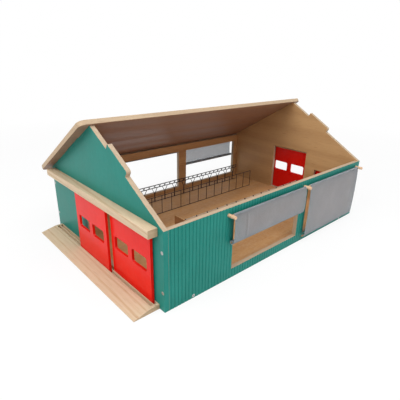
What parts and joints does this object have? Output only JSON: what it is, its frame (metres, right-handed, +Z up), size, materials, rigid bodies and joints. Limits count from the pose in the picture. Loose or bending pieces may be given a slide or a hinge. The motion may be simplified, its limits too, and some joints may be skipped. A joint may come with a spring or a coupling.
{
  "type": "toy barn",
  "caption": "Wooden toy barn with sliding doors on grooved rails, roll-up cloth side curtains, a lift-off roof panel and wire pens.",
  "frame": {"origin": "on the ground under the middle of the barn's outline seen from above", "axes": "+Z up, +Y from the front gable to the rear gable, +X to the right when looking at the front doors from outside"},
  "size_m": [0.4521, 0.6784, 0.2765],
  "materials": {
    "green_board": "satin green paint outside, bare wood inside and on the edges",
    "floor_wood": "clear-lacquered fibreboard",
    "roof_wood": "satin brown",
    "pine": "bare planed pine",
    "red_door": "gloss red lacquer",
    "peg_wood": "bare turned dowel",
    "rod_wood": "bare dowel",
    "hem_rod": "dark stained dowel",
    "grey_cloth": "plain woven grey cloth",
    "dark_wire": "dark brown lacquer",
    "alley_wire": "grey-brown lacquer",
    "board_wood": "bare plywood",
    "steel": "zinc-plated"
  },
  "bodies": {
    "barn": {"alley_fence": "alley_wire", "feed_fence": "dark_wire", "floor_board": "floor_wood", "floor_screws": "steel", "front_gable": "green_board", "front_rail": "pine", "front_ramp": "pine", "gable_screws": "steel", "hatch_rail": "pine", "left_curtain_rod": "rod_wood", "left_front_curtain": "grey_cloth", "left_front_curtain_sleeve": "grey_cloth", "left_pegs": "peg_wood", "left_rear_curtain": "grey_cloth", "left_rear_curtain_sleeve": "grey_cloth", "left_wall": "green_board", "pen_board": "board_wood", "rear_gable": "green_board", "rear_rail": "pine", "rear_sill": "pine", "right_curtain_rod": "rod_wood", "right_front_curtain": "grey_cloth", "right_front_curtain_sleeve": "grey_cloth", "right_pegs": "peg_wood", "right_rear_curtain": "grey_cloth", "right_rear_curtain_sleeve": "grey_cloth", "right_wall": "green_board", "stall_fence": "dark_wire"},
    "front_left_door": {"front_left_door": "red_door"},
    "front_right_door": {"front_right_door": "red_door"},
    "rear_door": {"rear_door": "red_door"},
    "hatch_door": {"hatch_door": "red_door"},
    "roof_panel": {"roof_panel": "roof_wood"},
    "left_front_hem": {"left_front_curtain_roll": "grey_cloth", "left_front_hem_rod": "hem_rod"},
    "left_rear_hem": {"left_rear_curtain_roll": "grey_cloth", "left_rear_hem_rod": "hem_rod"},
    "right_front_hem": {"right_front_curtain_roll": "grey_cloth", "right_front_hem_rod": "hem_rod"},
    "right_rear_hem": {"right_rear_curtain_roll": "grey_cloth", "right_rear_hem_rod": "hem_rod"}
  },
  "joints": [
    {"name": "front_left_door_slide", "type": "slide", "parent": "barn", "child": "front_left_door", "axis": [1, 0, 0], "range_m": [-0.121, 0.1315]},
    {"name": "front_right_door_slide", "type": "slide", "parent": "barn", "child": "front_right_door", "axis": [1, 0, 0], "range_m": [-0.247, 0.006]},
    {"name": "rear_door_slide", "type": "slide", "parent": "barn", "child": "rear_door", "axis": [1, 0, 0], "range_m": [-0.1285, 0.015]},
    {"name": "hatch_door_slide", "type": "slide", "parent": "barn", "child": "hatch_door", "axis": [1, 0, 0], "range_m": [0, 0.049]},
    {"name": "roof_lift", "type": "slide", "parent": "barn", "child": "roof_panel", "axis": [-0.5068, 0, 0.862], "range_m": [0, 0.03]},
    {"name": "left_front_curtain_roll_up", "type": "slide", "parent": "barn", "child": "left_front_hem", "axis": [0, 0, 1], "range_m": [-0.1055, 0], "deforming": ["left_front_curtain"]},
    {"name": "left_rear_curtain_roll_up", "type": "slide", "parent": "barn", "child": "left_rear_hem", "axis": [0, 0, 1], "range_m": [-0.0625, 0.043], "deforming": ["left_rear_curtain"]},
    {"name": "right_front_curtain_roll_up", "type": "slide", "parent": "barn", "child": "right_front_hem", "axis": [0, 0, 1], "range_m": [-0.0625, 0.043], "deforming": ["right_front_curtain"]},
    {"name": "right_rear_curtain_roll_up", "type": "slide", "parent": "barn", "child": "right_rear_hem", "axis": [0, 0, 1], "range_m": [0, 0.1055], "deforming": ["right_rear_curtain"]}
  ]
}
